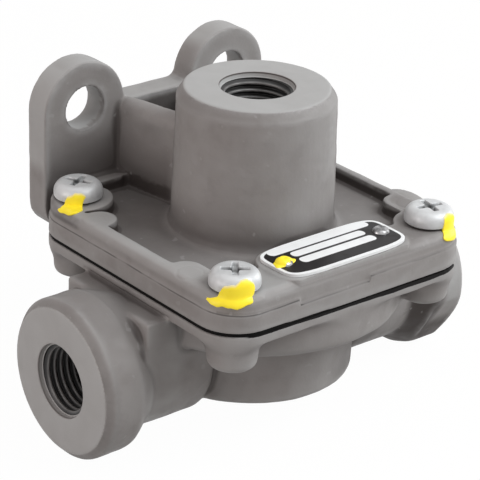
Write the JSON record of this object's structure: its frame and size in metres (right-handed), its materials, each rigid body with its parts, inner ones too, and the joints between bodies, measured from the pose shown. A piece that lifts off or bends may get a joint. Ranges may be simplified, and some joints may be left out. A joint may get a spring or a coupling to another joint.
{
  "type": "quick exhaust valve",
  "caption": "Cast quick exhaust valve with a square bolted cover, threaded top supply port, opposed side delivery ports, exhaust port below, mounting ears and a spring-loaded diaphragm.",
  "frame": {"origin": "middle of the two mounting holes, on the back face of the ears", "axes": "+Y out of the mounting face, +Z along the supply port out of its mouth, X along the two delivery ports"},
  "size_m": [0.1056, 0.0778, 0.0754],
  "materials": {
    "cast_aluminium": "matte cast and blasted",
    "black_rubber": "matte",
    "zinc_steel": "zinc plated",
    "plate": "printed black and white",
    "rivet": "satin",
    "seat_brass": "turned",
    "spring_steel": "drawn wire"
  },
  "bodies": {
    "housing": {"cover": "cast_aluminium", "body": "cast_aluminium", "flange_gasket": "black_rubber", "cover_screws": "zinc_steel", "nameplate": "plate", "nameplate_rivets": "rivet", "return_spring": "spring_steel"},
    "valve": {"valve_diaphragm": "black_rubber", "spring_seat": "seat_brass"}
  },
  "joints": [
    {"name": "diaphragm_lift", "type": "slide", "parent": "housing", "child": "valve", "axis": [0, 0, 1], "range_m": [0, 0.0024], "stiffness_N_per_m": 300, "springref_m": -0.01, "deforming": ["return_spring"]}
  ]
}
